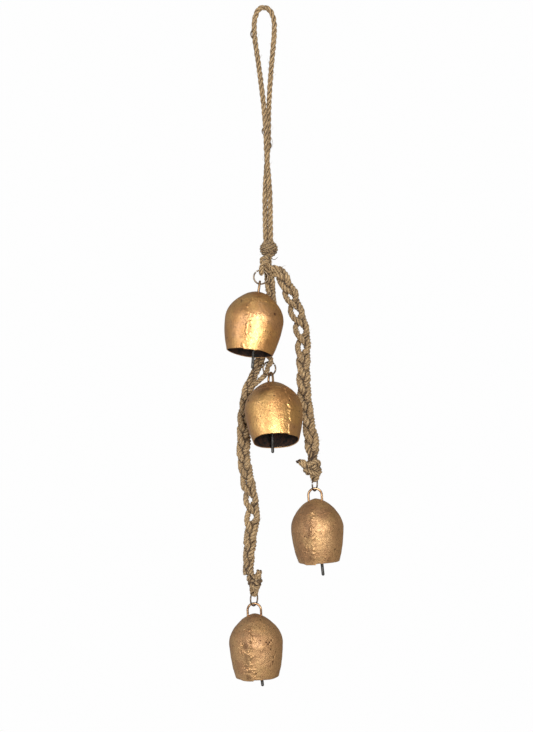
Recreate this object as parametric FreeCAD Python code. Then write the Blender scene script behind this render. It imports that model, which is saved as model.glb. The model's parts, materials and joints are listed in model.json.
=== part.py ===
import FreeCAD, Part
import math
import os

# A hanging string of four rolled-sheet bells on jute rope, in millimetres, +Z up.
# The origin is under the top of the hanging loop, where a hook or peg bears.
# X runs to the right and Y away from the viewer, towards the wall that it hangs on.

V = FreeCAD.Vector
X_AXIS, Y_AXIS, Z_AXIS = V(1, 0, 0), V(0, 1, 0), V(0, 0, 1)

# Rope and braids
ROPE_D = 5.2          # two-ply jute rope of the hanging loop
BRAID_D = 11.0        # round tube that stands for a flat three-strand braid
STRAND_D = 4.0        # one strand, squeezed where it holds a ring
TAIL_D = 5.2          # cut tails that stick out of the end knots
JOINT_GAP = 0.3       # clearance round the rounded head of a rope length that swings

# Split wire rings, all alike
RING_R = 6.9          # centre of the wire
RING_WIRE_D = 1.6
RING_SPLIT_DEG = 7.0
RING_REST = 0.2       # gap between a ring's wire and the strand that it hangs on

# Bells, all alike
BELL_H = 62.0
WALL = 1.0
OVAL = 1.12           # the bell is this much wider across the bail than along it
LAP_TOP = 9.5         # the crown cap laps over the body between these depths
LAP_END = 13.0
BRAZE_GAP = 0.05
BAIL_WIRE_D = 2.3
BAIL_R = 6.7          # round top of the bail, centre of the wire
BAIL_RISE = 10.85     # centre of the bail's top above the crown
BAIL_REST = 0.3       # gap between the bail and the ring's wire
BAR_DEPTH = 8.0       # the bail's end is turned in under the crown as the clapper's bar
BAR_CORNER_R = 1.8
CLAPPER_D = 3.0
EYE_R = 2.6
EYE_WIRE_D = 1.6

# Outer half-width along the bail at a depth below the top of the crown
TOP_VIA, TOP_END = (7.7, 2.6), (15.4, 7.7)
SHOULDER_VIA, GIRTH = (22.0, 15.0), (26.3, 28.8)
SKIRT_VIA, MOUTH_R = (24.7, 45.0), 20.7

# Rope centrelines, as points that the runs join
LOOP = [V(4.6, -1.2, -236), V(4.3, -1.9, -200), V(3.5, -2.4, -175), V(0.8, -2.8, -148),
        V(-1.4, -2.2, -118), V(-4.7, -0.5, -80), V(-8.2, 0, -50), V(-11.4, 0, -27),
        V(-12.2, 0, -10), V(-7.6, 0, 3.4), V(3.2, 0, 3.0), V(8.4, 0, -8.5),
        V(8.3, 0, -24), V(6.3, 0, -45), V(4.1, 0.6, -74), V(3.0, 2.3, -107),
        V(2.6, 2.8, -132), V(0.4, 2.9, -157), V(-1.1, 2.4, -182), V(-0.8, 1.6, -209),
        V(-0.1, 1.2, -236)]
RIGHT_UPPER = [V(10.4, 0.5, -259.7), V(18.3, 2.6, -263.6), V(23.2, 4.6, -275.6),
               V(27.0, 6.0, -287.5), V(30.4, 7.0, -300.5), V(34.9, 7.6, -314),
               V(37.0, 7.5, -330), V(37.4, 7.1, -348), V(38.0, 7.2, -367),
               V(38.9, 6.7, -386), V(41.2, 6.5, -404), V(44.4, 6.0, -422)]
RIGHT_LOWER = [V(44.4, 6.0, -422), V(46.9, 5.3, -433), V(46.0, 4.3, -441.5), V(46.5, 4.0, -450)]
LEFT_UPPER = [V(3.5, 3.5, -268.3), V(4.9, 8.6, -277.5), V(5.3, 14.4, -290), V(4.2, 18.4, -307),
              V(0.9, 18.1, -327), V(-4.4, 15.3, -345), V(-11.2, 12.9, -361),
              V(-18.6, 12.1, -375), V(-22.0, 12.2, -391), V(-22.8, 12.0, -409),
              V(-23.5, 12.1, -428), V(-22.6, 12.0, -446)]
LEFT_LOWER = [V(-22.6, 12.0, -446), V(-20.0, 11.5, -462), V(-17.7, 10.8, -478),
              V(-14.9, 10.3, -493), V(-14.0, 9.6, -508), V(-15.2, 9.1, -523),
              V(-16.8, 8.5, -538), V(-17.3, 8.2, -552), V(-15.0, 8.0, -566)]
RIGHT_TAIL = [V(43.0, 3.6, -456.6), V(36.8, 3.2, -454.0), V(31.2, 3.4, -450.9)]
LEFT_TAIL = [V(-9.6, 7.6, -572), V(-7.3, 7.2, -566), V(-7.1, 7.0, -560)]

# Knots: centre, half-width and half-height
BALL_KNOT = (V(2.7, 0, -237.6), 9.0, 8.35)
NECK_KNOT = (V(2.6, -0.5, -253.5), 4.4, 10.5)
RIGHT_KNOT = (V(46.2, 4.0, -456.0), 9.3, 9.0)
LEFT_KNOT = (V(-11.8, 8.0, -572.0), 7.8, 7.6)

# Rings: the point of the strand that each hangs on, its turn about Z, its lean to the
# left in its own plane, and where its wire is split, counted from its right-hand side
RINGS = {
    1: dict(eye=V(-4.6, -8.0, -262.8), yaw=0.0, lean=9.5, split=140.0),
    2: dict(eye=V(2.9, 4.0, -353.7), yaw=25.0, lean=-8.0, split=30.0),
    3: dict(eye=V(48.9, 4.0, -469.2), yaw=67.0, lean=0.0, split=176.0),
    4: dict(eye=V(-12.0, 8.0, -585.0), yaw=60.0, lean=0.0, split=80.0),
}
# Bells: turn about Z, tilt of the mouth to the viewer, lean of the mouth to the left, the
# clapper's own lean to the left and tilt to the viewer, and its reach below the mouth
BELLS = {
    1: dict(yaw=90.0, tilt=11.0, lean=8.0, clapper_lean=4.0, clapper_tilt=4.0, reach=14.5),
    2: dict(yaw=-70.0, tilt=24.5, lean=-5.0, clapper_lean=-1.0, clapper_tilt=11.0, reach=9.0),
    3: dict(yaw=0.0, tilt=0.0, lean=-3.5, clapper_lean=-6.2, clapper_tilt=0.0, reach=15.0),
    4: dict(yaw=0.0, tilt=0.0, lean=-2.8, clapper_lean=-7.0, clapper_tilt=0.0, reach=11.0),
}


def turned(*turns):
    """One rotation from (axis, degrees) pairs, the first of them applied last."""
    whole = FreeCAD.Rotation()
    for axis, degrees in turns:
        whole = whole.multiply(FreeCAD.Rotation(axis, degrees))
    return whole


def placed(shape, at, rotation):
    """A copy of a shape, turned about the origin that it is drawn on and then moved there."""
    out = shape.copy()
    out.Placement = FreeCAD.Placement(at, rotation).multiply(shape.Placement)
    return out


def rounded(points):
    """A path of straight runs joined by tangent arcs, its length and its smallest radius."""
    edges, at, tightest = [], points[0], math.inf
    for before, corner, after in zip(points, points[1:], points[2:]):
        back, on = before - corner, after - corner
        half_turn = (math.pi - back.getAngle(on)) / 2
        cut = 0.45 * min(back.Length, on.Length)
        radius = cut / math.tan(half_turn)
        tightest = min(tightest, radius)
        back.normalize()
        on.normalize()
        start, end = corner + back * cut, corner + on * cut
        to_centre = (back + on).normalize()
        middle = corner + to_centre * (radius / math.cos(half_turn) - radius)
        edges.append(Part.LineSegment(at, start).toShape())
        edges.append(Part.Arc(start, middle, end).toShape())
        at = end
    edges.append(Part.LineSegment(at, points[-1]).toShape())
    wire = Part.Wire(edges)
    return wire, wire.Length, tightest


def tube(points, diameter, name):
    """A rope length: a round tube along a rounded path."""
    path, length, tightest = rounded(points)
    section = Part.Wire(Part.makeCircle(diameter / 2, points[0], points[1] - points[0]))
    solid = path.makePipeShell([section], True, False)
    share = solid.Volume / (math.pi * diameter**2 / 4 * length)
    print(f"{name}: length {length:.1f} mm, smallest radius {tightest:.1f} mm, volume share {share:.4f}")
    return solid


def ball(centre, radius):
    return Part.makeSphere(radius, centre)


def egg(centre, half_width, half_height):
    """A knot's outer shape: a ball made taller or flatter."""
    stretch = FreeCAD.Matrix()
    stretch.scale(half_width, half_width, half_height)
    return ball(V(), 1).transformGeometry(stretch).translated(centre)


def headed_tube(points, diameter, name):
    """A rope length that swings: its first end is a rounded head about the hinge."""
    return tube(points, diameter, name).fuse(ball(points[0], diameter / 2)).removeSplitter()


# Rope parts

def hanging_loop():
    return tube(LOOP, ROPE_D, "hanging_loop")


def ball_knot():
    return egg(*BALL_KNOT)


def socket_radius():
    return BRAID_D / 2 + JOINT_GAP


def neck_knot():
    """The neck below the ball knot, hollowed where the heads of the two braids swing."""
    neck = egg(*NECK_KNOT)
    for hinge in (RIGHT_UPPER[0], LEFT_UPPER[0]):
        neck = neck.cut(ball(hinge, socket_radius()))
    return neck.cut(egg(*BALL_KNOT))


def upper_braid(points, below, name):
    """An upper braid: a head at the neck, and a socket at the hinge below."""
    return headed_tube(points, BRAID_D, name).cut(ball(below, socket_radius()))


def strand_bight(number, front_ends, back_ends, name):
    """A strand that passes down through a ring, under its wire and up again."""
    ring = RINGS[number]
    turn = turned((Z_AXIS, ring["yaw"]))
    side = (STRAND_D + RING_WIRE_D) / 2 + JOINT_GAP
    foot = [ring["eye"] + turn.multVec(V(0, y, 0)) for y in (-side, side)]
    return tube([*front_ends, *foot, *back_ends], STRAND_D, name)


def leg(number, side_sign, height):
    """A point straight above one side of a ring's strand."""
    ring = RINGS[number]
    side = (STRAND_D + RING_WIRE_D) / 2 + JOINT_GAP
    return ring["eye"] + turned((Z_AXIS, ring["yaw"])).multVec(V(0, side_sign * side, height))


def ring_1_bight():
    front = [V(1.2, -3.4, -246.4), V(-3.2, -9.6, -247.6), leg(1, -1, 8.5)]
    back = [leg(1, 1, 7.0), V(0.8, -2.0, -253.2)]
    return strand_bight(1, front, back, "ring_1_bight")


def ring_2_bight():
    front = [V(-1.5, 13.4, -341.5), V(2.2, 6.4, -344.2), leg(2, -1, 5.5)]
    back = [V(-1.3, 10.8, -360.5), V(-7.0, 12.0, -367.8), V(-13.6, 12.3, -372.2)]
    return strand_bight(2, front, back, "ring_2_bight")


def end_bight(number, height, name):
    return strand_bight(number, [leg(number, -1, height)], [leg(number, 1, height)], name)


# Rings, bells and clappers

def ring_turn(number):
    ring = RINGS[number]
    return turned((Z_AXIS, ring["yaw"]), (Y_AXIS, ring["lean"]))


def ring_top():
    """The ring's wire above the strand that it hangs on."""
    return (STRAND_D + RING_WIRE_D) / 2 + RING_REST


def ring(number):
    """A split ring that hangs below the origin in the XZ plane, with its wire over a strand."""
    data = RINGS[number]
    wire = Part.makeTorus(RING_R, RING_WIRE_D / 2, V(), Z_AXIS, 0, 360, 360 - RING_SPLIT_DEG)
    wire.rotate(V(), Z_AXIS, data["split"] + RING_SPLIT_DEG / 2)
    wire.rotate(V(), X_AXIS, 90)
    wire.translate(V(0, 0, ring_top() - RING_R))
    return placed(Part.makeSolid(wire.Shells[0]), data["eye"], ring_turn(number))


def bell_pivot(number):
    """The middle of the ring's wire at its lowest point, where the bail hangs."""
    return RINGS[number]["eye"] + ring_turn(number).multVec(V(0, 0, ring_top() - 2 * RING_R))


def pivot_height():
    """The ring's wire above the top of the crown."""
    return BAIL_RISE - (BAIL_WIRE_D + RING_WIRE_D) / 2 - BAIL_REST


def bell_turn(number):
    bell = BELLS[number]
    return turned((Y_AXIS, bell["lean"]), (X_AXIS, -bell["tilt"]), (Z_AXIS, bell["yaw"]))


def hung(shape, number):
    """A bell's part, drawn with the top of the crown at the origin, hung on its ring."""
    shape = shape.translated(V(0, 0, -pivot_height()))
    return placed(shape, bell_pivot(number), bell_turn(number))


def profile(inset):
    """The bell's half outline, moved in by inset, as three arcs from the top to the mouth."""
    def at(point, share):
        return V(max(point[0] - inset * share, 0), 0, -point[1] - inset * (1 - share))
    top = V(0, 0, -inset)
    joint, girth = at(TOP_END, 0.55), at(GIRTH, 1)
    return [
        Part.Arc(top, at(TOP_VIA, 0.3), joint).toShape(),
        Part.Arc(joint, at(SHOULDER_VIA, 0.75), girth).toShape(),
        Part.Arc(girth, at(SKIRT_VIA, 1), V(MOUTH_R - inset, 0, -BELL_H)).toShape(),
    ]


def filled(inset):
    """The solid inside the profile, as oval as the bell."""
    edges = profile(inset)
    floor = Part.makeLine(edges[-1].Vertexes[-1].Point, V(0, 0, -BELL_H))
    axis = Part.makeLine(V(0, 0, -BELL_H), V(0, 0, -inset))
    face = Part.Face(Part.Wire([*edges, floor, axis]))
    solid = Part.makeSolid(face.revolve(V(), Z_AXIS, 360).Shells[0])
    oval = FreeCAD.Matrix()
    oval.scale(1, OVAL, 1)
    return solid.transformGeometry(oval)


def slab(top, bottom):
    size = 80
    return Part.makeBox(size, size, top - bottom, V(-size / 2, -size / 2, bottom))


def bell_body(number):
    """The rolled sheet body, open at the mouth, under the crown's lap at the top."""
    shell = filled(0).cut(filled(WALL))
    return hung(shell.common(slab(-LAP_TOP, -BELL_H)), number)


def bell_crown(number):
    """The domed cap, with its edge over the body and two holes for the bail."""
    cap = filled(-WALL).cut(filled(-BRAZE_GAP)).common(slab(-LAP_TOP, -LAP_END))
    dome = filled(-WALL).cut(filled(0)).common(slab(2 * WALL, -LAP_TOP))
    cap = cap.fuse(dome).removeSplitter()
    for x in (-BAIL_R, BAIL_R):
        hole = Part.makeCylinder(BAIL_WIRE_D / 2 + BRAZE_GAP, 3 * BAIL_R, V(x, 0, -2 * BAIL_R))
        cap = cap.cut(hole)
    return hung(cap, number)


def bell_bail(number):
    """The wire bail: a round top, two legs through the crown, one end turned in as a bar."""
    low, shoulder, r = -BAR_DEPTH, BAIL_RISE - BAIL_R, BAR_CORNER_R
    bar_end = BAIL_R - BAIL_WIRE_D / 2 - 0.6
    bend = r * (1 - math.sqrt(0.5))
    edges = [
        Part.makeLine(V(bar_end, 0, low), V(r - BAIL_R, 0, low)),
        Part.Arc(V(r - BAIL_R, 0, low), V(bend - BAIL_R, 0, low + bend), V(-BAIL_R, 0, low + r)).toShape(),
        Part.makeLine(V(-BAIL_R, 0, low + r), V(-BAIL_R, 0, shoulder)),
        Part.Arc(V(-BAIL_R, 0, shoulder), V(0, 0, BAIL_RISE), V(BAIL_R, 0, shoulder)).toShape(),
        Part.makeLine(V(BAIL_R, 0, shoulder), V(BAIL_R, 0, low - BAIL_WIRE_D / 2)),
    ]
    section = Part.Wire(Part.makeCircle(BAIL_WIRE_D / 2, V(bar_end, 0, low), X_AXIS))
    return hung(Part.Wire(edges).makePipeShell([section], True, False), number)


def clapper_pivot(number):
    at = V(0, 0, -BAR_DEPTH - pivot_height())
    return bell_pivot(number) + bell_turn(number).multVec(at)


def clapper_turn(number):
    """The clapper's eye faces along the bar, and its rod hangs at its own lean and tilt."""
    bell = BELLS[number]
    turn = turned((Y_AXIS, bell["clapper_lean"]), (X_AXIS, -bell["clapper_tilt"]))
    up = turn.multVec(Z_AXIS)
    bar = bell_turn(number).multVec(X_AXIS)
    across = (bar - up * bar.dot(up)).normalize()
    return FreeCAD.Rotation(across, up.cross(across), up, "ZXY")


def clapper(number):
    """The clapper: an iron rod with a rounded tip and an eye round the bar."""
    tip, r = BAR_DEPTH - BELL_H - BELLS[number]["reach"], CLAPPER_D / 2
    round_off = r * math.sqrt(0.5)
    outline = Part.Wire([
        Part.makeLine(V(0, 0, -EYE_R), V(r, 0, -EYE_R)),
        Part.makeLine(V(r, 0, -EYE_R), V(r, 0, tip + r)),
        Part.Arc(V(r, 0, tip + r), V(round_off, 0, tip + r - round_off), V(0, 0, tip)).toShape(),
        Part.makeLine(V(0, 0, tip), V(0, 0, -EYE_R)),
    ])
    rod = Part.Face(outline).revolve(V(), Z_AXIS, 360)
    eye = Part.makeTorus(EYE_R, EYE_WIRE_D / 2, V(), X_AXIS)
    return placed(rod.fuse(eye), clapper_pivot(number), clapper_turn(number))


def all_parts():
    parts = {
        "hanging_loop": hanging_loop(),
        "ball_knot": ball_knot(),
        "neck_knot": neck_knot(),
        "ring_1_bight": ring_1_bight(),
        "right_braid_upper": upper_braid(RIGHT_UPPER, RIGHT_LOWER[0], "right_braid_upper"),
        "right_braid_lower": headed_tube(RIGHT_LOWER, BRAID_D, "right_braid_lower"),
        "right_end_knot": egg(*RIGHT_KNOT),
        "right_knot_tail": tube(RIGHT_TAIL, TAIL_D, "right_knot_tail"),
        "ring_3_bight": end_bight(3, 8.0, "ring_3_bight"),
        "left_braid_upper": upper_braid(LEFT_UPPER, LEFT_LOWER[0], "left_braid_upper"),
        "ring_2_bight": ring_2_bight(),
        "left_braid_lower": headed_tube(LEFT_LOWER, BRAID_D, "left_braid_lower"),
        "left_end_knot": egg(*LEFT_KNOT),
        "left_knot_tail": tube(LEFT_TAIL, TAIL_D, "left_knot_tail"),
        "ring_4_bight": end_bight(4, 9.0, "ring_4_bight"),
    }
    for n in BELLS:
        parts[f"ring_{n}"] = ring(n)
        parts[f"bell_{n}_body"] = bell_body(n)
        parts[f"bell_{n}_crown"] = bell_crown(n)
        parts[f"bell_{n}_bail"] = bell_bail(n)
        parts[f"clapper_{n}"] = clapper(n)
    return parts


os.makedirs("parts", exist_ok=True)
for name, shape in all_parts().items():
    assert shape.isValid() and len(shape.Solids) == 1, name
    shape.Solids[0].exportStep(f"parts/{name}.step")
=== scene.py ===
"""Looks of a hanging string of four sheet bells on jute rope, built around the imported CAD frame."""
import json
import math

import bpy
import numpy as np
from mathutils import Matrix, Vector, noise


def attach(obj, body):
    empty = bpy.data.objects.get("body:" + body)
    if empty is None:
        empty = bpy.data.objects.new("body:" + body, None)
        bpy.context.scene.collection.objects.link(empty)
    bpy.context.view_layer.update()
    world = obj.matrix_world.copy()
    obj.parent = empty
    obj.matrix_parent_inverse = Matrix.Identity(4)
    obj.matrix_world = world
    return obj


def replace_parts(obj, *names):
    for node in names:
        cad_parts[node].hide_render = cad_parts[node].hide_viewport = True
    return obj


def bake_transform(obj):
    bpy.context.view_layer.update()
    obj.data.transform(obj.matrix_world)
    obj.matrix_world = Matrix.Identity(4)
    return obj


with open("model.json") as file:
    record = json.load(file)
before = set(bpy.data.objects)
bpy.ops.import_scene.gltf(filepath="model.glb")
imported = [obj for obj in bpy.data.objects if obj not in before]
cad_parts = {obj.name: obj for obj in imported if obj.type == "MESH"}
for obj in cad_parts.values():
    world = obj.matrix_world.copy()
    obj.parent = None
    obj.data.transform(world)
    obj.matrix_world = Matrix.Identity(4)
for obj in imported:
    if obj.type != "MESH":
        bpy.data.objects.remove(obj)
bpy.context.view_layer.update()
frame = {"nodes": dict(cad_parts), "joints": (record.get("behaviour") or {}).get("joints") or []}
joints = {j["name"]: j for j in frame["joints"]}

MM = 0.001
X, Y, Z = np.eye(3)

# ------------------------------------------------------------------ routes, in mm
LOOP = [(4.6, -1.2, -236), (4.3, -1.9, -200), (3.5, -2.4, -175), (0.8, -2.8, -148),
        (-0.5, -2.4, -113), (-3.5, -1.2, -83), (-7.9, 0, -50), (-11.4, 0, -27), (-12.2, 0, -10),
        (-7.6, 0, 3.4), (3.2, 0, 3.0), (8.4, 0, -8.5), (8.3, 0, -24), (6.3, 0, -45),
        (3.7, 0.9, -77), (2.5, 2.5, -103), (2.6, 2.8, -132), (0.4, 2.9, -157), (-1.1, 2.4, -182),
        (-0.8, 1.6, -209), (-0.1, 1.2, -236)]
RIGHT = [(-1.2, 0.9, -256.8), (5.0, 0.6, -260.2), (13.4, 1.6, -260.2), (17.0, 3.2, -266.5),
         (19.6, 4.6, -273.5), (23.6, 5.6, -281.5), (27.0, 6.2, -290.0), (30.4, 7.0, -300.5),
         (34.9, 7.6, -314), (37.0, 7.5, -330), (37.4, 7.1, -348), (38.0, 7.2, -367),
         (38.9, 6.7, -386), (41.2, 6.5, -404), (44.4, 6.0, -422), (46.9, 5.3, -433),
         (46.0, 4.3, -441.5), (46.5, 4.0, -450)]
LEFT = [(2.6, 0.5, -258.0), (3.5, 3.5, -268.3), (4.9, 8.6, -277.5), (5.3, 14.4, -290),
        (4.2, 18.4, -307), (0.9, 18.1, -327), (-4.4, 15.3, -345), (-11.2, 12.9, -361),
        (-17.3, 13.9, -375), (-20.8, 15.1, -391), (-21.6, 14.9, -409), (-22.9, 13.7, -428),
        (-22.6, 12.0, -446), (-20.0, 11.5, -462), (-17.7, 10.8, -478), (-14.9, 10.3, -493),
        (-14.0, 9.6, -508), (-15.2, 9.1, -523), (-16.8, 8.5, -538), (-17.6, 8.3, -552),
        (-17.4, 8.2, -564.6)]
RIGHT_TAIL = [(43.0, 3.0, -456.4), (37.0, 2.4, -452.6), (33.4, 2.6, -449.8), (30.6, 3.2, -451.2)]
LEFT_TAIL = [(-10.4, 7.4, -571), (-7.6, 6.8, -567), (-6.8, 6.8, -560.4)]
BALL = (2.8, 0, -238.0)
RIGHT_KNOT = (45.9, 4, -457.2)
RIGHT_KNOT_RUNS = [[(46.0, 4, -448), (47.5, 3.6, -458), (49.0, 4.0, -466)],
                   [(38.8, 1.8, -457.6), (43.6, -2.0, -460.6), (51.0, -1.8, -463.4), (55.4, 2.8, -460.4),
                    (51.6, 7.4, -457.0)],
                   [(41.6, -1.6, -454.4), (47.2, -3.2, -450.4), (54.0, 0.2, -450.8), (52.0, 5.6, -455.0)]]
LEFT_KNOT = (-11.9, 8, -570.6)
LEFT_KNOT_RUNS = [[(-14.5, 8, -562), (-12.5, 7.6, -574), (-12.0, 8.0, -583)],
                  [(-17.4, 5.6, -565.8), (-16.0, 3.6, -572.4), (-11.6, 3.4, -578.8), (-6.8, 5.8, -576.8),
                   (-6.8, 7.2, -569.0)]]

STEP = 0.9 * MM
ROPE_D = 5.2
PLIES = 3
LAY = 12.0          # length of one turn of the plies in a braid's strand
FOOT = 3.1          # from a ring's eye to where a strand turns up on each side
TURN = 6.28         # one turn, for random angles
BATCH = 4000        # points measured at a time, which keeps the memory small


# ------------------------------------------------------------------ small tools
def unit(v):
    v = np.asarray(v, float)
    return v / np.maximum(np.linalg.norm(v, axis=-1, keepdims=True), 1e-12)


def smooth(a, b, x):
    """0 at a, 1 at b, with no corner at either."""
    t = np.clip((np.asarray(x, float) - a) / (b - a), 0, 1)
    return t * t * (3 - 2 * t)


def along(line):
    return np.concatenate([[0], np.cumsum(np.linalg.norm(np.diff(line, axis=0), axis=1))])


def evenly(line):
    s = along(line)
    at = np.linspace(0, s[-1], max(3, int(s[-1] / STEP) + 1))
    return np.stack([np.interp(at, s, line[:, k]) for k in range(3)], axis=1)


def route_line(points):
    """Points, in metres, along a smooth NURBS spline that has the route's points as its control points."""
    curve = bpy.data.curves.new("route", "CURVE")
    curve.dimensions = "3D"
    curve.resolution_u = 24
    spline = curve.splines.new("NURBS")
    spline.points.add(len(points) - 1)
    for place, p in zip(spline.points, points):
        place.co = (p[0] * MM, p[1] * MM, p[2] * MM, 1)
    spline.order_u = 3
    spline.use_endpoint_u = True
    obj = bpy.data.objects.new("route", curve)
    bpy.context.scene.collection.objects.link(obj)
    bpy.context.view_layer.update()
    mesh = bpy.data.meshes.new_from_object(obj)
    line = np.array([v.co for v in mesh.vertices], float)
    bpy.data.objects.remove(obj)
    bpy.data.meshes.remove(mesh)
    bpy.data.curves.remove(curve)
    return evenly(line)


def waves(rng, s, spacing, size):
    """Smooth random values along s, about spacing apart, between -size and size."""
    knots = np.arange(s[0] - spacing, s[-1] + 2 * spacing, spacing)
    values = rng.uniform(-size, size, len(knots))
    fine = np.interp(s, knots, values)
    return (fine + np.interp(s + spacing / 3, knots, values) + np.interp(s - spacing / 3, knots, values)) / 3


def carried(line):
    """Two directions square to the line that don't spin about it, the first one starting nearest to Y."""
    t = unit(np.gradient(line, axis=0))
    side = np.empty_like(t)
    now = Y - t[0] * np.dot(Y, t[0])
    if np.linalg.norm(now) < 0.1:
        now = X - t[0] * t[0][0]
    for i, d in enumerate(t):
        now = unit(now - d * np.dot(now, d))
        side[i] = now
    return side, np.cross(t, side)


def flat_frames(line):
    """Sideways in the XZ plane and backwards, both square to the line."""
    t = unit(np.gradient(line, axis=0))
    side = unit(np.cross(t, Y))
    return side, unit(np.cross(side, t))


# ------------------------------------------------------------------ yarn and rope
class Yarn:
    """Collects twisted plies and stray hairs into one mesh, with a fibre direction and a depth for the
    material; depth is a painted shade, dark in the grooves between plies and where strands lie close."""

    def __init__(self, name, seed):
        self.name, self.rng = name, np.random.default_rng(seed)
        self.points, self.faces, self.fibre, self.depth = [], [], [], []
        self.count = 0
        self.lines = []

    def add(self, points, faces, fibre, depth):
        self.points.append(points)
        self.fibre.append(fibre)
        self.depth.append(depth)
        self.faces += [tuple(self.count + i for i in f) for f in faces]
        self.count += len(points)

    def tube(self, line, radius, sides, depth=None, core=None, reach=1.0):
        """A closed tube round line. depth is its shade, 0 deep inside the rope and 1 on its surface, and is
        worked out from core if that is given."""
        n = len(line)
        radius = np.broadcast_to(np.asarray(radius, float), (n,))
        side, other = carried(line)
        a = np.linspace(0, 2 * math.pi, sides, endpoint=False)
        ring = side[:, None] * np.cos(a)[None, :, None] + other[:, None] * np.sin(a)[None, :, None]
        points = (line[:, None] + radius[:, None, None] * ring).reshape(-1, 3)
        s = along(line) / MM
        spin = a[None, :] + s[:, None] * 0.11
        shift = self.rng.uniform(-40, 40, 3)
        fibre = np.stack([np.cos(spin), np.sin(spin), np.broadcast_to(s[:, None] * 0.09, spin.shape)], axis=2)
        fibre = fibre.reshape(-1, 3) + shift
        if core is not None:
            # painted shade: a ply's surface is darker the nearer it lies to its strand's core, in the grooves
            # between plies
            far = np.linalg.norm(points - np.repeat(core, sides, axis=0), axis=1)
            shade = smooth(0.52 * reach, 1.02 * reach, far)
        else:
            shade = np.full(len(points), depth)
        faces = []
        for i in range(n - 1):
            for j in range(sides):
                k = (j + 1) % sides
                faces.append((i * sides + j, i * sides + k, (i + 1) * sides + k, (i + 1) * sides + j))
        ends = np.array([line[0] - (line[1] - line[0]) * 0.3, line[-1] + (line[-1] - line[-2]) * 0.3])
        points = np.concatenate([points, ends])
        fibre = np.concatenate([fibre, fibre[[0, -1]]])
        shade = np.concatenate([shade, shade[[0, -1]]])
        for j in range(sides):
            k = (j + 1) % sides
            faces.append((n * sides, k, j))
            faces.append((n * sides + 1, (n - 1) * sides + j, (n - 1) * sides + k))
        self.add(points, faces, fibre, shade)

    def strand(self, line, thick, pitch=LAY, frames=None, phase=None, taper=None, sides=8):
        """Twisted plies round line; thick is the strand's diameter in mm, a number or one for each point."""
        n = len(line)
        s = along(line) / MM
        thick = np.broadcast_to(np.asarray(thick, float), (n,)) * MM
        if taper is not None:
            thick = thick * taper
        side, other = frames if frames is not None else carried(line)
        start = self.rng.uniform(0, TURN) if phase is None else phase
        turn = start + 2 * math.pi * s / pitch + waves(self.rng, s, 14, 0.5)
        radius = thick * 0.252
        first = len(self.points)
        for k in range(PLIES):
            a = turn + 2 * math.pi * k / PLIES
            away = thick * self.rng.uniform(0.272, 0.292)
            ply = line + away[:, None] * (side * np.cos(a)[:, None] + other * np.sin(a)[:, None])
            lumps = 1 + waves(self.rng, s, 3.1, 0.10) + waves(self.rng, s, 9.0, 0.07)
            self.tube(ply, radius * lumps, sides, core=line, reach=float(np.mean(thick)) * 0.5)
        self.lines.append((line, thick, s * MM, first, sides))

    def hairs(self, line, radius, number, long=(2.0, 5.0), reach=2.4):
        """Thin curved fibres that stand off the surface, at most reach mm proud of it."""
        side, other = carried(line)
        t = unit(np.gradient(line, axis=0))
        radius = np.broadcast_to(np.asarray(radius, float), (len(line),)) * MM
        for _ in range(number):
            i = self.rng.integers(1, len(line) - 1)
            a = self.rng.uniform(0, TURN)
            out = side[i] * math.cos(a) + other[i] * math.sin(a)
            forward = t[i] * self.rng.choice([-1, 1])
            across = np.cross(out, forward)
            size = self.rng.uniform(*long) * MM
            lift = min(self.rng.uniform(0.2, 0.9) * size, reach * MM)
            curl = self.rng.uniform(-0.8, 0.8) * size
            u = np.linspace(0, 1, 6)[:, None]
            away = (out * radius[i] * 0.8 + out * (lift + radius[i] * 0.15) * np.sin(u * 1.9)
                    + across * curl * u * u)
            far = np.linalg.norm(away, axis=1, keepdims=True)
            away *= np.minimum(1, (radius[i] + reach * MM) / far)
            hair = line[i] + forward * size * u * 0.8 + away
            self.tube(hair, 0.085 * MM * (1.15 - u[:, 0] * 0.8), 3, depth=1.6)

    def shade_between(self):
        """Deepens the shade where one strand, or another turn of the same strand, lies close."""
        centres = np.concatenate([line for line, *_ in self.lines])
        widths = np.concatenate([thick for _, thick, *_ in self.lines])
        owner = np.concatenate([np.full(len(line), k) for k, (line, *_) in enumerate(self.lines)])
        place = np.concatenate([s for _, _, s, *_ in self.lines])
        for k, (_, _, s, first, sides) in enumerate(self.lines):
            at = np.append(np.repeat(s, sides), s[[0, -1]])
            for j in range(first, first + PLIES):
                points = self.points[j]
                for lo in range(0, len(points), BATCH):
                    part = slice(lo, lo + BATCH)
                    far = np.linalg.norm(points[part, None] - centres[None], axis=2) / widths
                    own = (owner[None] == k) & (np.abs(at[part, None] - place[None]) < 1.6 * widths)
                    far[own] = 9
                    self.depth[j][part] *= 0.18 + 0.82 * smooth(0.47, 0.84, far.min(axis=1))

    def build(self, material, body=None):
        self.shade_between()
        mesh = bpy.data.meshes.new(self.name)
        points = np.concatenate(self.points)
        mesh.from_pydata(points.tolist(), [], self.faces)
        mesh.polygons.foreach_set("use_smooth", [True] * len(mesh.polygons))
        fibre = mesh.attributes.new("fibre", "FLOAT_VECTOR", "POINT")
        fibre.data.foreach_set("vector", np.concatenate(self.fibre).astype(np.float32).ravel())
        depth = mesh.attributes.new("depth", "FLOAT", "POINT")
        depth.data.foreach_set("value", np.concatenate(self.depth).astype(np.float32))
        mesh.materials.append(material)
        obj = bpy.data.objects.new(self.name, mesh)
        bpy.context.scene.collection.objects.link(obj)
        if body:
            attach(obj, body)
        return obj


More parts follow.
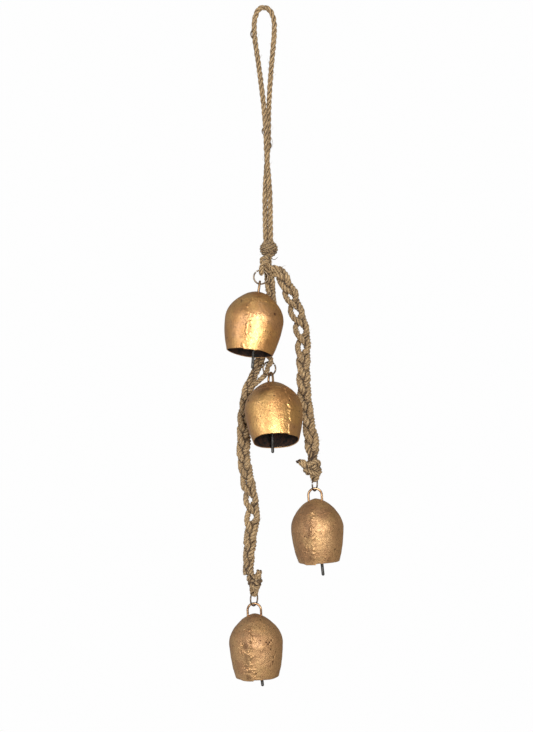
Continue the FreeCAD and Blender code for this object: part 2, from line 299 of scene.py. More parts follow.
def braid_strands(line, spec, rng):
    """The three strands' lines of a flat braid. The spec gives each size as pairs of distance and value:
    yaw turns the braid in degrees, period counts the strands' turns from side to side, and lean moves the
    crossings sideways, which opens the holes on the other side."""
    s = along(line) / MM
    side, back = flat_frames(line)
    w, thick, yaw, turns, lean = (np.interp(s, *zip(*spec[key]))
                                  for key in ("width", "thick", "yaw", "period", "lean"))
    turn = np.radians(yaw)[:, None]
    phase = 2 * math.pi * turns
    across, deep = side * np.cos(turn) + back * np.sin(turn), back * np.cos(turn) - side * np.sin(turn)
    lines = []
    for k in range(3):
        a = spec["start"] + phase + 2 * math.pi * k / 3
        swing = np.sin(a) + 0.10 * np.sin(3 * a) + lean * np.cos(a) ** 2
        x = (w - thick) / 2 * swing + waves(rng, s, 11, 0.8)
        y = 0.56 * thick * np.sin(2 * a) + waves(rng, s, 13, 0.5)
        lines.append(line + MM * (x[:, None] * across + y[:, None] * deep))
    return lines


# ------------------------------------------------------------------ materials
def node_tools(name):
    material = bpy.data.materials.new(name)
    material.use_nodes = True
    nodes, links = material.node_tree.nodes, material.node_tree.links
    shader = nodes["Principled BSDF"]

    def add(kind, inputs=None, **settings):
        node = nodes.new(kind)
        for key, value in settings.items():
            setattr(node, key, value)
        for key, value in (inputs or {}).items():
            if isinstance(value, bpy.types.NodeSocket):
                links.new(value, node.inputs[key])
            else:
                node.inputs[key].default_value = value
        return node

    def blend(factor, a, b):
        node = add("ShaderNodeMix", data_type="RGBA", blend_type="MIX")
        for socket, value in ((node.inputs[0], factor), (node.inputs[6], a), (node.inputs[7], b)):
            if isinstance(value, bpy.types.NodeSocket):
                links.new(value, socket)
            else:
                socket.default_value = value
        return node.outputs[2]

    def ramp(value, low, high, to_low=0.0, to_high=1.0):
        node = add("ShaderNodeMapRange", {"Value": value, "From Min": low, "From Max": high,
                                          "To Min": to_low, "To Max": to_high})
        node.interpolation_type = "SMOOTHSTEP"
        return node.outputs["Result"]

    def spots(where, scale, detail=3.0, rough=0.5):
        return add("ShaderNodeTexNoise", {"Vector": where, "Scale": scale, "Detail": detail,
                                          "Roughness": rough}).outputs["Fac"]

    def bump(height, strength, distance, normal=None):
        inputs = {"Height": height, "Strength": strength, "Distance": distance}
        if normal is not None:
            inputs["Normal"] = normal
        return add("ShaderNodeBump", inputs).outputs["Normal"]

    def set_shader(**values):
        for key, value in values.items():
            socket = shader.inputs[key.replace("_", " ")]
            if isinstance(value, bpy.types.NodeSocket):
                links.new(value, socket)
            else:
                socket.default_value = value

    return material, add, blend, ramp, spots, bump, set_shader


# deep is the colour of the painted shade in the grooves, and also of small dark flecks
def jute(name, light, dark, deep):
    material, add, blend, ramp, spots, bump, set_shader = node_tools(name)
    fibre = add("ShaderNodeAttribute", attribute_name="fibre").outputs["Vector"]
    # depth carries the painted shade of the grooves between plies and of strands lying close
    depth = add("ShaderNodeAttribute", attribute_name="depth").outputs["Fac"]
    place = add("ShaderNodeTexCoord").outputs["Object"]
    streaks = spots(fibre, 3.2, 5.0, 0.62)
    fine = spots(fibre, 9.0, 3.0, 0.6)
    patches = spots(place, 120.0, 3.0)
    flecks = spots(place, 900.0, 2.0)
    tone = blend(ramp(streaks, 0.38, 0.62), dark, light)
    tone = blend(ramp(patches, 0.40, 0.72, 0.0, 0.55), tone, dark)
    tone = blend(ramp(fine, 0.50, 0.66, 0.0, 0.8), tone, (0.80, 0.62, 0.38, 1))
    tone = blend(ramp(flecks, 0.58, 0.70, 0.0, 0.6), tone, deep)
    # painted shade: the tone turns to deep where depth is low
    tone = blend(ramp(depth, 0.02, 0.95), deep, tone)
    normal = bump(streaks, 0.9, 0.0007)
    normal = bump(fine, 0.5, 0.0002, normal)
    set_shader(Base_Color=tone, Normal=normal, Roughness=0.86, Sheen_Weight=0.08, Sheen_Roughness=0.5)
    return material


def coat(name, gold, copper, brown, pink, worn, glaze):
    """Hammered sheet under a rubbed copper and gold finish; worn is how much of it is brown or pitted, and
    glaze is the weight of its clear coat."""
    material, add, blend, ramp, spots, bump, set_shader = node_tools(name)
    place = add("ShaderNodeTexCoord").outputs["Object"]
    broad = spots(place, 46.0, 4.0, 0.55)
    mottle = spots(place, 230.0, 5.0, 0.66)
    grain = spots(place, 620.0, 5.0, 0.7)
    blush = spots(place, 34.0, 2.0)
    cells = add("ShaderNodeTexVoronoi", {"Vector": place, "Scale": 210.0})
    chosen = add("ShaderNodeSeparateColor", {"Color": cells.outputs["Color"]}).outputs[0]
    pits = add("ShaderNodeMath", {0: ramp(cells.outputs["Distance"], 0.10, 0.20, 1.0, 0.0),
                                  1: ramp(chosen, 0.88 - 0.10 * worn, 0.90 - 0.10 * worn)},
               operation="MULTIPLY").outputs[0]
    tone = blend(ramp(broad, 0.38, 0.62), gold, copper)
    tone = blend(ramp(blush, 0.48, 0.66, 0.0, 0.8), tone, pink)
    tone = blend(ramp(mottle, 0.46, 0.70, 0.0, 0.55 + 0.35 * worn), tone, copper)
    tone = blend(ramp(grain, 0.50, 0.68, 0.0, 0.35 + 0.4 * worn), tone, brown)
    tone = blend(pits, tone, brown)
    braze = add("ShaderNodeAttribute", attribute_name="braze").outputs["Fac"]
    stain = add("ShaderNodeMath", {0: braze, 1: ramp(mottle, 0.34, 0.56, 0.35, 1.0)},
                operation="MULTIPLY").outputs[0]
    tone = blend(stain, tone, brown)
    rough = ramp(mottle, 0.30, 0.70, 0.25 + 0.29 * worn, 0.40 + 0.37 * worn)
    normal = bump(mottle, 0.25 + 0.3 * worn, 0.0010)
    normal = bump(grain, 0.3 + 0.4 * worn, 0.00060, normal)
    normal = bump(pits, 0.6, -0.0004, normal)
    set_shader(Base_Color=tone, Roughness=rough, Normal=normal, Metallic=0.92, Coat_Weight=glaze,
               Coat_Roughness=0.4)
    return material


def plain_metal(name, light, dark, metallic, rough, scale):
    material, add, blend, ramp, spots, bump, set_shader = node_tools(name)
    place = add("ShaderNodeTexCoord").outputs["Object"]
    patches = spots(place, scale, 4.0, 0.6)
    grain = spots(place, scale * 5, 3.0, 0.6)
    tone = blend(ramp(patches, 0.38, 0.62), light, dark)
    set_shader(Base_Color=tone, Roughness=ramp(grain, 0.3, 0.7, rough - 0.1, rough + 0.12),
               Normal=bump(grain, 0.35, 0.00012), Metallic=metallic)
    return material


# The jute's light and dark tones, then deep, its painted shade colour that also gives the dark flecks
JUTE = jute("jute", (0.43, 0.276, 0.122, 1), (0.130, 0.070, 0.026, 1), (0.046, 0.022, 0.008, 1))
GOLD = coat("golden_coat", (0.76, 0.445, 0.155, 1), (0.57, 0.29, 0.100, 1), (0.16, 0.07, 0.026, 1),
            (0.60, 0.32, 0.150, 1), 0.3, 0.45)
BRONZE = coat("bronze_coat", (0.635, 0.397, 0.182, 1), (0.475, 0.27, 0.132, 1), (0.15, 0.07, 0.032, 1),
              (0.66, 0.41, 0.205, 1), 0.8, 0.2)
COATS = {1: GOLD, 2: GOLD, 3: BRONZE, 4: BRONZE}
INSIDE = plain_metal("bell_inside", (0.008, 0.008, 0.007, 1), (0.055, 0.024, 0.014, 1), 0.2, 0.75, 240)
BAIL = plain_metal("bail_wire", (0.52, 0.335, 0.18, 1), (0.24, 0.13, 0.065, 1), 0.95, 0.36, 300)
RING = plain_metal("ring_wire", (0.10, 0.068, 0.046, 1), (0.24, 0.18, 0.12, 1), 0.9, 0.42, 400)
IRON = plain_metal("clapper_iron", (0.095, 0.092, 0.085, 1), (0.030, 0.027, 0.023, 1), 0.75, 0.5, 400)


# ------------------------------------------------------------------ rope pieces
def hanging_loop():
    line = route_line(LOOP)
    yarn = Yarn("hanging_loop_rope", 11)
    yarn.strand(line, ROPE_D, 18.0, sides=10)
    yarn.hairs(line, ROPE_D / 2, 150)
    stray(yarn, [(4.6, 2.0, -125.5), (6.6, 1.6, -129.5), (6.9, 1.4, -133.5), (5.4, 1.6, -137.5)], 0.2)
    for points in ([(-12.4, -1.4, -19), (-15.0, -1.6, -20.5), (-15.2, -1.6, -26.5), (-12.4, -1.4, -29)],
                   [(-2.0, -3.4, -117.5), (-5.4, -3.6, -120.4), (-2.6, -3.4, -124)],
                   [(3.4, 1.5, -131), (6.8, 1.2, -134.5), (3.6, 1.2, -138)]):
        stray(yarn, points, 0.95, 0.3)
    loop = yarn.build(JUTE, "hanger")
    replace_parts(loop, "hanging_loop")


def wound_line(centre, radii, turns, low, high, start, tilt, roll):
    """A winding over an egg, from latitude low to high in degrees, about an axis that tilts and rolls."""
    u = np.linspace(0, 1, int(turns * 60))
    lat = np.radians(low + (high - low) * u)
    a = np.radians(start) + 2 * math.pi * turns * u
    p = np.stack([np.cos(lat) * np.cos(a), np.cos(lat) * np.sin(a), np.sin(lat)], axis=1)
    t, r = math.radians(tilt), math.radians(roll)
    lean = np.array([[math.cos(t), 0, math.sin(t)], [0, 1, 0], [-math.sin(t), 0, math.cos(t)]])
    nod = np.array([[1, 0, 0], [0, math.cos(r), -math.sin(r)], [0, math.sin(r), math.cos(r)]])
    return evenly((np.array(centre) + (p @ lean.T @ nod.T) * np.array(radii)) * MM)


def egg(yarn, centre, radii, depth):
    """A plain filled core that keeps light from passing through a knot; its depth paints it darker, as shade.
    """
    lat = np.linspace(-math.pi / 2, math.pi / 2, 14)
    line = np.array([np.array(centre) + np.array([0, 0, radii[2] * math.sin(v)]) for v in lat]) * MM
    yarn.tube(line, np.maximum(np.cos(lat), 0.02) * radii[0] * MM, 16, depth=depth)


def stray(yarn, points, thick, depth=0.9):
    """One long loose fibre through the points, thinner towards its end."""
    line = route_line(points)
    yarn.tube(line, thick * MM * np.linspace(1, 0.4, len(line)), 5, depth=depth)


def ball_knot():
    yarn = Yarn("ball_knot_rope", 21)
    # the ball's core, painted darker as shade
    egg(yarn, BALL, (7.2, 7.2, 7.8), 0.45)
    line = wound_line(BALL, (7.8, 7.6, 7.4), 7.6, -80, 79, 200, -22, 6)
    yarn.strand(line, 2.9, 8.0)
    yarn.hairs(line, 1.4, 40)
    band = wound_line(BALL, (8.3, 8.2, 7.4), 0.26, -38, 4, 246, 34, 0)
    yarn.strand(band, 2.8, 7.0)
    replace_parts(yarn.build(JUTE, "hanger"), "ball_knot")


def neck_knot():
    yarn = Yarn("neck_knot_rope", 22)
    runs = [[(0.2, -1.5, -242.5), (0.8, -2.4, -250), (3.4, -3.4, -257.2), (9.4, -2.2, -260.6),
             (14.4, 0, -260.8)],
            [(3.5, -0.8, -242.5), (3.3, -0.8, -249), (3.0, 0.2, -256), (3.0, 2.2, -263), (3.6, 4.4, -270)],
            [(2.4, 2.0, -242.5), (2.8, 2.6, -251), (4.6, 2.4, -259), (9.6, 2.4, -262.2), (14.0, 2.8, -264)],
            [(0.8, 0.8, -248), (-0.4, 1.0, -256), (0.8, 2.8, -263), (3.0, 5.4, -271)]]
    for run in runs:
        line = route_line(run)
        yarn.strand(line, 4.9)
        yarn.hairs(line, 2.4, 10)
    lobe = route_line([(2.4, -4.4, -247.2), (-2.8, -4.6, -246.0), (-5.2, -3.6, -250.6), (-2.4, -2.6, -254.6),
                       (2.0, -1.2, -253.6)])
    yarn.strand(lobe, 4.1, 11.0)
    stray(yarn, [(4.6, -1.5, -246.8), (7.2, -1.9, -248.9), (9.6, -1.8, -248.6), (11.6, -1.6, -246.4)],
          0.5, 0.3)
    stray(yarn, [(15.5, 0.5, -256.4), (17.8, 0.0, -254.4), (19.8, 0.2, -254.8)], 0.22)
    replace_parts(yarn.build(JUTE, "hanger"), "neck_knot")


def knot_line(centre, size, deep, spin, tilt):
    """A closed trefoil winding, as an overhand knot pulled tight shows it, facing the viewer."""
    t = np.linspace(0, 2 * math.pi, 160)
    x = (1.6 + np.cos(3 * t)) * np.cos(2 * t + spin) / 2.6
    z = (1.6 + np.cos(3 * t)) * np.sin(2 * t + spin) / 2.6
    y = np.sin(3 * t)
    a = math.radians(tilt)
    p = np.stack([x * size[0], y * deep, z * size[1]], axis=1)
    lean = np.array([[math.cos(a), math.sin(a), 0], [-math.sin(a), math.cos(a), 0], [0, 0, 1]])
    return evenly((np.array(centre) + p @ lean.T) * MM)


def end_knot(name, body, node, centre, size, deep, spin, tilt, stem, seed):
    yarn = Yarn(name, seed)
    # the knot's core, painted darker as shade
    egg(yarn, centre, (size[0] * 0.70, size[0] * 0.70, size[1] * 0.72), 0.35)
    line = knot_line(centre, size, deep, spin, tilt)
    yarn.strand(line, 5.6)
    yarn.hairs(line, 2.6, 26)
    for run in stem:
        path = route_line(run)
        yarn.strand(path, 4.7, 11.0)
        yarn.hairs(path, 2.3, 5)
    knot = yarn.build(JUTE, body)
    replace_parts(knot, node)
    return knot


def tail(name, body, node, points, thick, fray, seed):
    yarn = Yarn(name, seed)
    line = route_line(points)
    yarn.strand(line, thick, 11.0, taper=1 - fray * smooth(0.5, 1, np.linspace(0, 1, len(line))))
    side, other = carried(line)
    t = unit(line[-1] - line[-4])
    for _ in range(16):
        a, r = yarn.rng.uniform(0, TURN), yarn.rng.uniform(0, 0.35 * thick * (1 - fray)) * MM
        away = side[-1] * math.cos(a) + other[-1] * math.sin(a)
        u = np.linspace(0, 1, 5)[:, None]
        fibre = line[-2] + r * away + unit(t + 0.5 * away) * u * yarn.rng.uniform(0.8, 2.0) * MM
        yarn.tube(fibre, 0.12 * MM * (1.1 - 0.7 * u[:, 0]), 4, depth=1.4)
    piece = yarn.build(JUTE, body)
    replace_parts(piece, node)
    return piece


def braid(name, points, cut, spec, seeds):
    """The two lengths of a braid, cut inside the rigid part between its two hinges. The spec's core lists the
    stretches that are filled with a core painted dark as shade, where no light comes through."""
    line = route_line(points)
    rng = np.random.default_rng(seeds[2])
    strands = braid_strands(line, spec, rng)
    s = along(line) / MM
    at = int(np.searchsorted(s, cut))
    made = []
    for level, seed, (lo, hi) in zip(("upper", "lower"), seeds, ((0, at + 1), (at, len(line)))):
        yarn = Yarn(f"{name}_{level}_braid", seed)
        thick = np.interp(s, *zip(*spec["thick"]))[lo:hi]
        for k, strand in enumerate(strands):
            frames = carried(strand)
            piece, cut_frames = strand[lo:hi], (frames[0][lo:hi], frames[1][lo:hi])
            length = along(strand) / MM
            yarn.strand(piece, thick, LAY, cut_frames, phase=k * 2.1 + 2 * math.pi * length[lo] / LAY)
            yarn.hairs(piece, thick / 2, int((hi - lo) * 0.22), reach=1.5)
        for first, last in spec["core"]:
            inside = [i for i in range(lo, hi) if first <= s[i] <= last]
            if len(inside) > 4:
                # the filling core, painted dark as shade by its low depth
                yarn.tube(np.mean(strands, axis=0)[inside], 2.0 * MM, 10, depth=0.25)
        made.append((yarn, line[lo:hi]))
    return made


def hang_braid(name, points, cut, spec, seeds):
    """One braid, built as an upper and a lower length that take the place of the CAD's two braid parts."""
    (upper, line_1), (lower, line_2) = braid(name, points, cut, spec, seeds)
    top = upper.build(JUTE)
    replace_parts(top, f"{name}_braid_upper")
    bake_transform(top)
    float(along(line_1)[-1])
    bottom = lower.build(JUTE)
    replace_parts(bottom, f"{name}_braid_lower")
    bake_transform(bottom)
    float(along(line_2)[-1])


def right_braid():
    spec = {"width": [(0, 10), (10, 13), (24, 14.5), (34, 15), (48, 16.8), (92, 16.8), (120, 15.5),
                      (150, 14.8), (176, 14.6), (187, 16.8), (197, 16.4), (206, 9.5)],
            "thick": [(0, 5.6), (20, 6.4), (34, 5.9), (50, 5.7), (94, 5.8), (108, 6.5), (150, 6.4),
                      (193, 6.9), (206, 5.0)],
            "yaw": [(0, 0), (30, 10), (100, 8), (140, 4), (200, 0)],
            "lean": [(0, 0), (34, 0.15), (46, 0.46), (92, 0.46), (106, 0.1), (210, 0)],
            "period": [(0, 0), (24, 0.5), (40, 0.86), (96, 1.88), (210, 4.2)], "start": -0.95,
            "core": [(0, 32), (108, 204)]}
    hang_braid("right", RIGHT, 120, spec, (31, 32, 33))


def left_braid():
    spec = {"width": [(0, 9), (20, 11.5), (84, 12.5), (98, 9.5), (120, 10), (136, 13.5), (190, 15.2),
                      (226, 15.5), (242, 16.6), (262, 16), (280, 14.5), (308, 12)],
            "thick": [(0, 5.2), (84, 5.6), (98, 4.6), (120, 4.8), (136, 6.0), (190, 6.4), (226, 6.2),
                      (240, 5.7), (258, 5.8), (270, 6.4), (308, 5.6)],
            "yaw": [(0, 0), (60, -10), (150, 8), (220, -6), (310, 0)],
            "lean": [(0, 0), (220, 0), (232, 0.4), (262, 0.4), (274, 0), (310, 0)],
            "period": [(0, 0), (220, 4.7), (310, 6.3)], "start": 2.4, "core": [(0, 228), (262, 306)]}
    hang_braid("left", LEFT, 166, spec, (41, 42, 43))


def feet(n):
    """Where a strand turns on each side of ring n."""
    joint = joints[f"ring_{n}_swing"]
    eye, normal = np.array(joint["pos_m"]) / MM, unit(joint["axis"])
    return eye - FOOT * normal, eye + FOOT * normal


def through_ring(n, before, after, high):
    """Route points of a strand that comes down, passes through ring n and goes up again."""
    near, far = feet(n)
    return [*before, tuple(near + high * Z), tuple(near), tuple(far), tuple(far + high * Z), *after]


def bight(name, body, node, points, thick, seed, is_cord=False):
    yarn = Yarn(name, seed)
    line = route_line(points)
    yarn.strand(line, thick, 11.0)
    yarn.hairs(line, thick / 2, 14, long=(1.5, 3.5), reach=1.6)
    piece = yarn.build(JUTE, body)
    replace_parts(piece, node)
    if is_cord:
        float(along(line)[-1])


def all_bights():
    bight("ring_1_strand", "hanger", "ring_1_bight",
          through_ring(1, [(1.6, -1.6, -249.0), (-1.4, -5.4, -252.4)], [(0.8, -2.0, -253.2)], 7.0),
          4.7, 51, True)
    near, far = feet(2)
    bight("ring_2_strand", "left_branch", "ring_2_bight",
          [(-1.5, 13.4, -341.5), (3.0, 7.4, -345.4), tuple(near + 5.5 * Z + 1.2 * X), tuple(near), tuple(far),
           (1.2, 10.6, -361.4), (-4.2, 11.6, -367.6), (-9.4, 12.4, -371.6), (-13.4, 12.8, -375.4)],
          5.2, 52, True)
    bight("ring_3_strand", "right_end", "ring_3_bight", through_ring(3, [], [], 8), 4.7, 53)
    bight("ring_4_strand", "left_end", "ring_4_bight", through_ring(4, [], [], 9), 4.5, 54)


# ------------------------------------------------------------------ bells
WALL, OVAL, BELL_H = 1.0, 1.12, 62.0      # the sheet, depth over width, and height
LAP_TOP, LAP_END = 9.5, 13.0              # depths where the body starts and the cap ends
PIVOT_UP = 8.6                            # the ring's wire above the crown
COLUMNS = 288                             # points round each bell
RIM_R, SEAM_R = 21, 24                    # half-widths that turn an angle from the seam into mm
# The outside line's three arcs: half-width and depth of each start, middle and end
PROFILE = [((0, 0), (7.7, 2.6), (15.4, 7.7)), ((15.4, 7.7), (22.0, 15.0), (26.3, 28.8)),
           ((26.3, 28.8), (24.7, 45.0), (20.7, 62.0))]
SEAM_DEG = {1: -18, 2: 35, 3: -10, 4: -9}                 # to the right of the front
# How far the sheet's edge stands proud in mm, how rough its braze is, and the side that lies over the other
SEAM_LOOK = {1: (0.22, 0.60, 1), 2: (0.25, 0.45, 1), 3: (0.50, 1.05, -1), 4: (0.50, 1.25, -1)}
STAIN = {1: 0.1, 2: 0.15, 3: 0.75, 4: 0.85}               # how dark the braze's stain is
# Small dark dents: degrees to the right of the front, depth and size
SPOTS = {1: [(-41, 14, 0.9), (45.5, 24, 1.1)], 2: [(-56, 23, 1.1), (4, 25, 0.7)], 3: [(38, 49, 0.8)],
         4: [(22, 24.0, 0.7), (26, 26.2, 0.8), (30, 24.6, 0.8), (34, 23.0, 0.7), (37.7, 39.5, 0.9),
             (37, 44.5, 1.0)]}
WIDER = {1: 0, 2: 0, 3: 0, 4: 1.1}                        # added to the half-width, in mm
DENTED = {1: 0.55, 2: 0.55, 3: 0.9, 4: 1.0}               # how deeply the sheet is beaten
LAP_LIFT = {1: 0.05, 2: 0.05, 3: 0.16, 4: 0.22}           # the cap's lower edge above the body, in mm


def arc(a, via, b, n):
    """n points of the circle's arc from a through via to b, without b."""
    a, via, b = map(np.array, (a, via, b))
    m = 2 * np.array([via - a, b - a], float)
    c = np.linalg.solve(m, [via @ via - a @ a, b @ b - a @ a])
    r = np.linalg.norm(a - c)
    t = [math.atan2(*(p - c)[::-1]) for p in (a, via, b)]
    t = np.unwrap(t)
    at = np.linspace(t[0], t[2], n, endpoint=False)
    return np.stack([c[0] + r * np.cos(at), c[1] + r * np.sin(at)], axis=1)


def profile_table():
    """Half-width and depth, then the outward direction, along the bell's outside line."""
    arcs = [arc(*points, n) for points, n in zip(PROFILE, (60, 80, 120))]
    line = np.concatenate([*arcs, [PROFILE[2][2]]])
    t = unit(np.gradient(line, axis=0))
    return line, np.stack([t[:, 1], -t[:, 0]], axis=1)


OUTLINE, OUTWARD = profile_table()


def outline(depth):
    """Half-width and the two parts of the outward direction at each of the depths."""
    d = OUTLINE[:, 1]
    return (np.interp(depth, d, OUTLINE[:, 0]), np.interp(depth, d, OUTWARD[:, 0]),
            np.interp(depth, d, OUTWARD[:, 1]))


def bell_frame(n):
    """Pivot in mm and the bell's own directions, from its hinges."""
    pivot = np.array(joints[f"bell_{n}_swing"]["pos_m"]) / MM
    inner = np.array(joints[f"clapper_{n}_swing"]["pos_m"]) / MM
    up = unit(pivot - inner)
    bar = unit(joints[f"clapper_{n}_swing"]["axis"])
    return pivot, np.stack([bar, np.cross(up, bar), up], axis=1)


def local_angle(axes, degrees):
    """The bell's own angle of a direction given in degrees to the right of the front."""
    turn = math.radians(degrees)
    front = axes.T @ np.array([math.sin(turn), -math.cos(turn), 0])
    return math.atan2(front[1] / OVAL, front[0])


def spots_at(n, axes, points):
    """1 in the middle of each small dark dent, 0 away from them."""
    near = np.zeros(len(points))
    for degrees, depth, size in SPOTS[n]:
        a, r = local_angle(axes, degrees), outline(depth)[0]
        centre = np.array([r * math.cos(a), OVAL * r * math.sin(a), -depth])
        near = np.maximum(near, np.exp(-(np.linalg.norm(points - centre, axis=1) / size) ** 2))
    return near


def dents(points, n):
    """How far the sheet is beaten in or out at each point, in mm."""
    out = np.empty(len(points))
    shift = Vector((17.3 * n, -9.1 * n, 5.7 * n))
    for i, p in enumerate(points):
        v = Vector(p) + shift
        cells = noise.voronoi(v / 8.5)[0]
        out[i] = (DENTED[n] * (0.42 * noise.noise(v / 15) + 0.22 * noise.noise(v / 6.5)
                               - 0.16 * min(cells[1] - cells[0], 0.5)) + 0.05 * noise.noise(v / 2.2))
    return out


def past_seam(angle, seam, n):
    """Angle from the seam towards the side of the sheet that lies on top."""
    return SEAM_LOOK[n][2] * ((angle - seam + math.pi) % (2 * math.pi) - math.pi)


def seam_shape(points, angle, seam, half_width, n):
    """The vertical overlap: one edge of the sheet stands proud of the other, under lumps of braze."""
    proud, rough, _ = SEAM_LOOK[n]
    away = past_seam(angle, seam, n) * half_width
    shift = Vector((n, 3, 1))
    lumps = np.array([max(noise.noise(Vector(p) / 2.4 + shift) + 0.12, 0) for p in points])
    ragged = np.array([noise.noise(Vector((3.1 * n, 0, p[2] / 4.4))) for p in points])
    crust = np.array([noise.noise(Vector(p) / 1.7 - shift) for p in points])
    patch = np.array([max(noise.noise(Vector(p) / 9.0 + shift) + 0.22, 0) for p in points])
    away = away + 2.6 * ragged
    step = proud * smooth(-0.7, 0.5, away) * (1 - smooth(4.5, 9.5, away))
    bead = np.exp(-((away - 0.4) / 1.8) ** 2)
    wide = np.exp(-((away - 4.0) / 8.0) ** 2) * patch * 1.7
    return step + rough * (bead * (0.1 + 1.5 * lumps) + wide * crust)


def sheet_points(n, depths, offset, seam, axes):
    """Grid of points on the bell's sheet, offset mm off its outer line, with dents, seam and uneven rim."""
    angle = np.linspace(0, 2 * math.pi, COLUMNS, endpoint=False)
    d, a = np.meshgrid(depths, angle, indexing="ij")
    off = np.broadcast_to(np.asarray(offset, float)[:, None], d.shape)
    r, nr, nz = outline(d)
    flat = np.stack([r * np.cos(a), OVAL * r * np.sin(a), -d], axis=2).reshape(-1, 3)
    beaten = (dents(flat, n) - 0.6 * spots_at(n, axes, flat)).reshape(d.shape)
    seamed = seam_shape(flat, a.ravel(), seam, np.maximum(r, 4).ravel(), n)
    seamed = seamed.reshape(d.shape) * smooth(8, 12, d)
    wobble = 1 + 0.010 * np.sin(2 * a + n) + 0.007 * np.sin(3 * a + 2.2 * n)
    out = off + beaten + seamed
    away = past_seam(a, seam, n) * RIM_R
    rim = 0.9 * smooth(-0.4, 0.2, away) * (1 - smooth(9, 16, away)) + 0.35 * np.sin(a * 3 + n)
    rim = rim * smooth(52, 62, d)
    x = (r * wobble + out * nr + WIDER[n] * smooth(4, 20, d)) * np.cos(a)
    y = (OVAL * r * wobble + out * nr) * np.sin(a)
    z = -(d + out * nz + rim)
    return np.stack([x, y, z], axis=2)


def closed_shell(name, grids, kinds, pole, place, materials, body, stained=None):
    """One closed mesh from a chain of point rings: outer rings, then inner rings back. kinds gives each
    band's material, and pole closes the first and last ring with a tip."""
    rings = np.concatenate(grids)
    rows, columns = rings.shape[:2]
    faces, slots = [], []
    loops = rows if not pole else rows - 1
    for i in range(loops):
        nxt = (i + 1) % rows
        for j in range(columns):
            k = (j + 1) % columns
            faces.append((i * columns + j, nxt * columns + j, nxt * columns + k, i * columns + k))
            slots.append(kinds[i])
    points = rings.reshape(-1, 3)
    if pole:
        for row, flip in ((0, False), (rows - 1, True)):
            tip = len(points)
            points = np.concatenate([points, rings[row].mean(axis=0)[None]])
            for j in range(columns):
                k = (j + 1) % columns
                a, b = row * columns + j, row * columns + k
                faces.append((tip, b, a) if flip else (tip, a, b))
                slots.append(kinds[row])
    pivot, axes = place
    world = (pivot + (points - np.array([0, 0, PIVOT_UP])) @ axes.T) * MM
    mesh = bpy.data.meshes.new(name)
    mesh.from_pydata(world.tolist(), [], faces)
    for material in materials:
        mesh.materials.append(material)
    braze = mesh.attributes.new("braze", "FLOAT", "POINT")
    if stained:
        braze.data.foreach_set("value", stained(points).astype(np.float32))
    mesh.polygons.foreach_set("material_index", slots)
    mesh.polygons.foreach_set("use_smooth", [True] * len(mesh.polygons))
    obj = bpy.data.objects.new(name, mesh)
    bpy.context.scene.collection.objects.link(obj)
    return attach(obj, body)


def bell(n):
    place = bell_frame(n)
    axes = place[1]
    seam = local_angle(axes, SEAM_DEG[n])

    def stained(points):
        angle = np.arctan2(points[:, 1] / OVAL, points[:, 0])
        away = past_seam(angle, seam, n) * SEAM_R
        band = STAIN[n] * np.exp(-((away - 4.2) / 3.4) ** 2) * smooth(14, 26, -points[:, 2])
        patches = np.array([noise.noise(Vector(p) / 6 + Vector((4 * n, 0, 0))) for p in points])
        return np.maximum(band * np.clip(0.35 + 1.3 * patches, 0, 1), 2.5 * spots_at(n, axes, points))

    outer = np.concatenate([np.linspace(LAP_TOP, 16, 14), np.linspace(16.6, BELL_H, 92)])
    inner = outer[::-1][::2]
    body = [sheet_points(n, outer, np.zeros(len(outer)), seam, axes),
            sheet_points(n, np.array([BELL_H + 0.25]), [-0.5 * WALL], seam, axes),
            sheet_points(n, inner, np.full(len(inner), -WALL), seam, axes)]
    kinds = [0] * (len(outer) + 1) + [1] * (len(inner) + 1)
    finish = [COATS[n], INSIDE]
    shell = closed_shell(f"bell_{n}_sheet", body, kinds, False, place, finish, f"bell_{n}", stained)
    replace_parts(shell, f"bell_{n}_body")
    depths = np.concatenate([[0.12], np.linspace(0.5, LAP_END - 1.4, 26),
                             np.linspace(LAP_END - 1.2, LAP_END, 8)])
    lift = LAP_LIFT[n] + (0.9 - LAP_LIFT[n]) * (1 - smooth(2.0, LAP_END - 0.5, depths))
    cap = [sheet_points(n, depths, lift, seam, axes),
           sheet_points(n, depths[::-1], np.full(len(depths), -0.06), seam, axes)]
    for layer in cap:
        ragged_lap(layer, n)
    kinds = [0] * len(depths) + [1] * len(depths)
    crown = closed_shell(f"bell_{n}_cap", cap, kinds, True, place, finish, f"bell_{n}")
    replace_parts(crown, f"bell_{n}_crown")


def ragged_lap(grid, n):
    """Moves the cap's lower edge up and down along the bell, so its lap isn't a turned circle."""
    for row in range(grid.shape[0]):
        for col in range(grid.shape[1]):
            p = grid[row, col]
            near = float(smooth(8.0, 13.0, -p[2]))
            if near > 0:
                wave = noise.noise(Vector((p[0], p[1], 0)) / 6 + Vector((0, 0, 9 * n)))
                wave += 0.5 * noise.noise(Vector((p[0], p[1], 0)) / 2 + Vector((0, 0, 5 * n)))
                down = near * wave * 1.6
                grid[row, col] = p + np.array([0, 0, -down]) + unit([p[0], p[1], 0]) * down * 0.75


# ------------------------------------------------------------------ light and camera
MIDDLE = Vector((0.0, 0.0, -0.40))


def area_light(name, place, size, power):
    light = bpy.data.lights.new(name, "AREA")
    light.shape, light.size, light.size_y = "RECTANGLE", size[0], size[1]
    light.energy = power
    obj = bpy.data.objects.new(name, light)
    obj.location = place
    obj.rotation_euler = (MIDDLE - Vector(place)).to_track_quat("-Z", "Y").to_euler()
    bpy.context.scene.collection.objects.link(obj)
    return obj


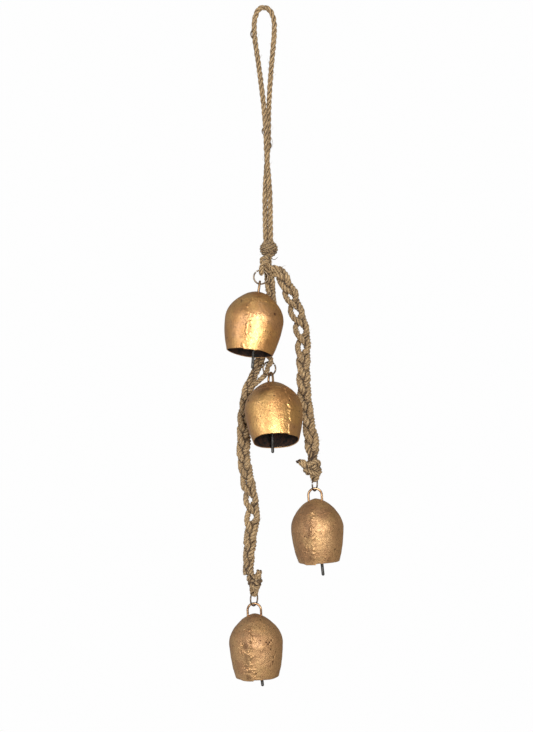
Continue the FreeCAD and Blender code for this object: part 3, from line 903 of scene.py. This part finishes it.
def lights():
    """A white wall to the camera, and for the light a room that is brighter on the left and darker behind."""
    world = bpy.data.worlds.new("studio")
    bpy.context.scene.world = world
    world.use_nodes = True
    nodes, links = world.node_tree.nodes, world.node_tree.links
    room, wall = nodes["Background"], nodes.new("ShaderNodeBackground")
    wall.inputs["Color"].default_value = (0.99, 0.99, 0.99, 1)
    place, split = nodes.new("ShaderNodeTexCoord"), nodes.new("ShaderNodeSeparateXYZ")
    links.new(place.outputs["Generated"], split.inputs[0])

    def graded(axis, low, high, to_low, to_high):
        level = nodes.new("ShaderNodeMapRange")
        for socket, value in zip(("From Min", "From Max", "To Min", "To Max"), (low, high, to_low, to_high)):
            level.inputs[socket].default_value = value
        links.new(split.outputs[axis], level.inputs["Value"])
        return level.outputs["Result"]

    def product(a, b):
        both = nodes.new("ShaderNodeMath")
        both.operation = "MULTIPLY"
        links.new(a, both.inputs[0])
        links.new(b, both.inputs[1])
        return both.outputs[0]

    strength = product(graded(0, -0.9, 0.9, 0.52, 0.31), graded(1, -0.1, 0.8, 1.0, 0.6))
    links.new(product(strength, graded(2, 0.05, 0.9, 1.0, 0.7)), room.inputs["Strength"])
    hue = nodes.new("ShaderNodeMix")
    hue.data_type = "RGBA"
    hue.inputs[6].default_value, hue.inputs[7].default_value = (0.98, 0.98, 1.0, 1), (1.0, 0.87, 0.68, 1)
    links.new(graded(0, -0.3, 0.9, 0, 1), hue.inputs[0])
    links.new(hue.outputs[2], room.inputs["Color"])
    mix, ray = nodes.new("ShaderNodeMixShader"), nodes.new("ShaderNodeLightPath")
    links.new(ray.outputs["Is Camera Ray"], mix.inputs[0])
    links.new(room.outputs[0], mix.inputs[1])
    links.new(wall.outputs[0], mix.inputs[2])
    links.new(mix.outputs[0], nodes["World Output"].inputs["Surface"])
    area_light("key", (0.42, -2.26, -0.08), (0.66, 1.15), 56)
    area_light("left_fill", (-1.6, -1.5, -0.2), (0.8, 1.4), 15)
    area_light("top", (0.1, -0.6, 1.4), (0.9, 0.9), 3)
    area_light("back_fill", (0.3, 2.2, 0.2), (1.2, 1.6), 24).visible_glossy = False


def camera():
    data = bpy.data.cameras.new("camera")
    data.lens, data.sensor_width = 73.8, 36.0
    obj = bpy.data.objects.new("camera", data)
    obj.location = (0.0005, -1.5, -0.355)
    obj.rotation_euler = (math.radians(90), 0, 0)
    bpy.context.scene.collection.objects.link(obj)
    bpy.context.scene.camera = obj


camera()
hanging_loop()
ball_knot()
neck_knot()
all_bights()
right_tail = tail("right_knot_cut_tail", "right_end", "right_knot_tail", RIGHT_TAIL, 7.6, 0.62, 61)
right_knot = end_knot("right_end_knot_rope", "right_end", "right_end_knot", RIGHT_KNOT, (6.6, 6.6), 3.4, 1.57,
                      15, RIGHT_KNOT_RUNS, 62)
left_tail = tail("left_knot_cut_tail", "left_end", "left_knot_tail", LEFT_TAIL, 6.4, 0.15, 63)
left_knot = end_knot("left_end_knot_rope", "left_end", "left_end_knot", LEFT_KNOT, (5.6, 5.0), 3.0, 2.2,
                     -10, LEFT_KNOT_RUNS, 64)
right_braid()
left_braid()
for number in (1, 2, 3, 4):
    bell(number)
    for part_name, metal in ((f"bell_{number}_bail", BAIL), (f"ring_{number}", RING),
                             (f"clapper_{number}", IRON)):
        node = frame["nodes"][part_name]
        node.data.materials.clear()
        node.data.materials.append(metal)
lights()

bpy.context.scene.view_settings.view_transform = "Standard"
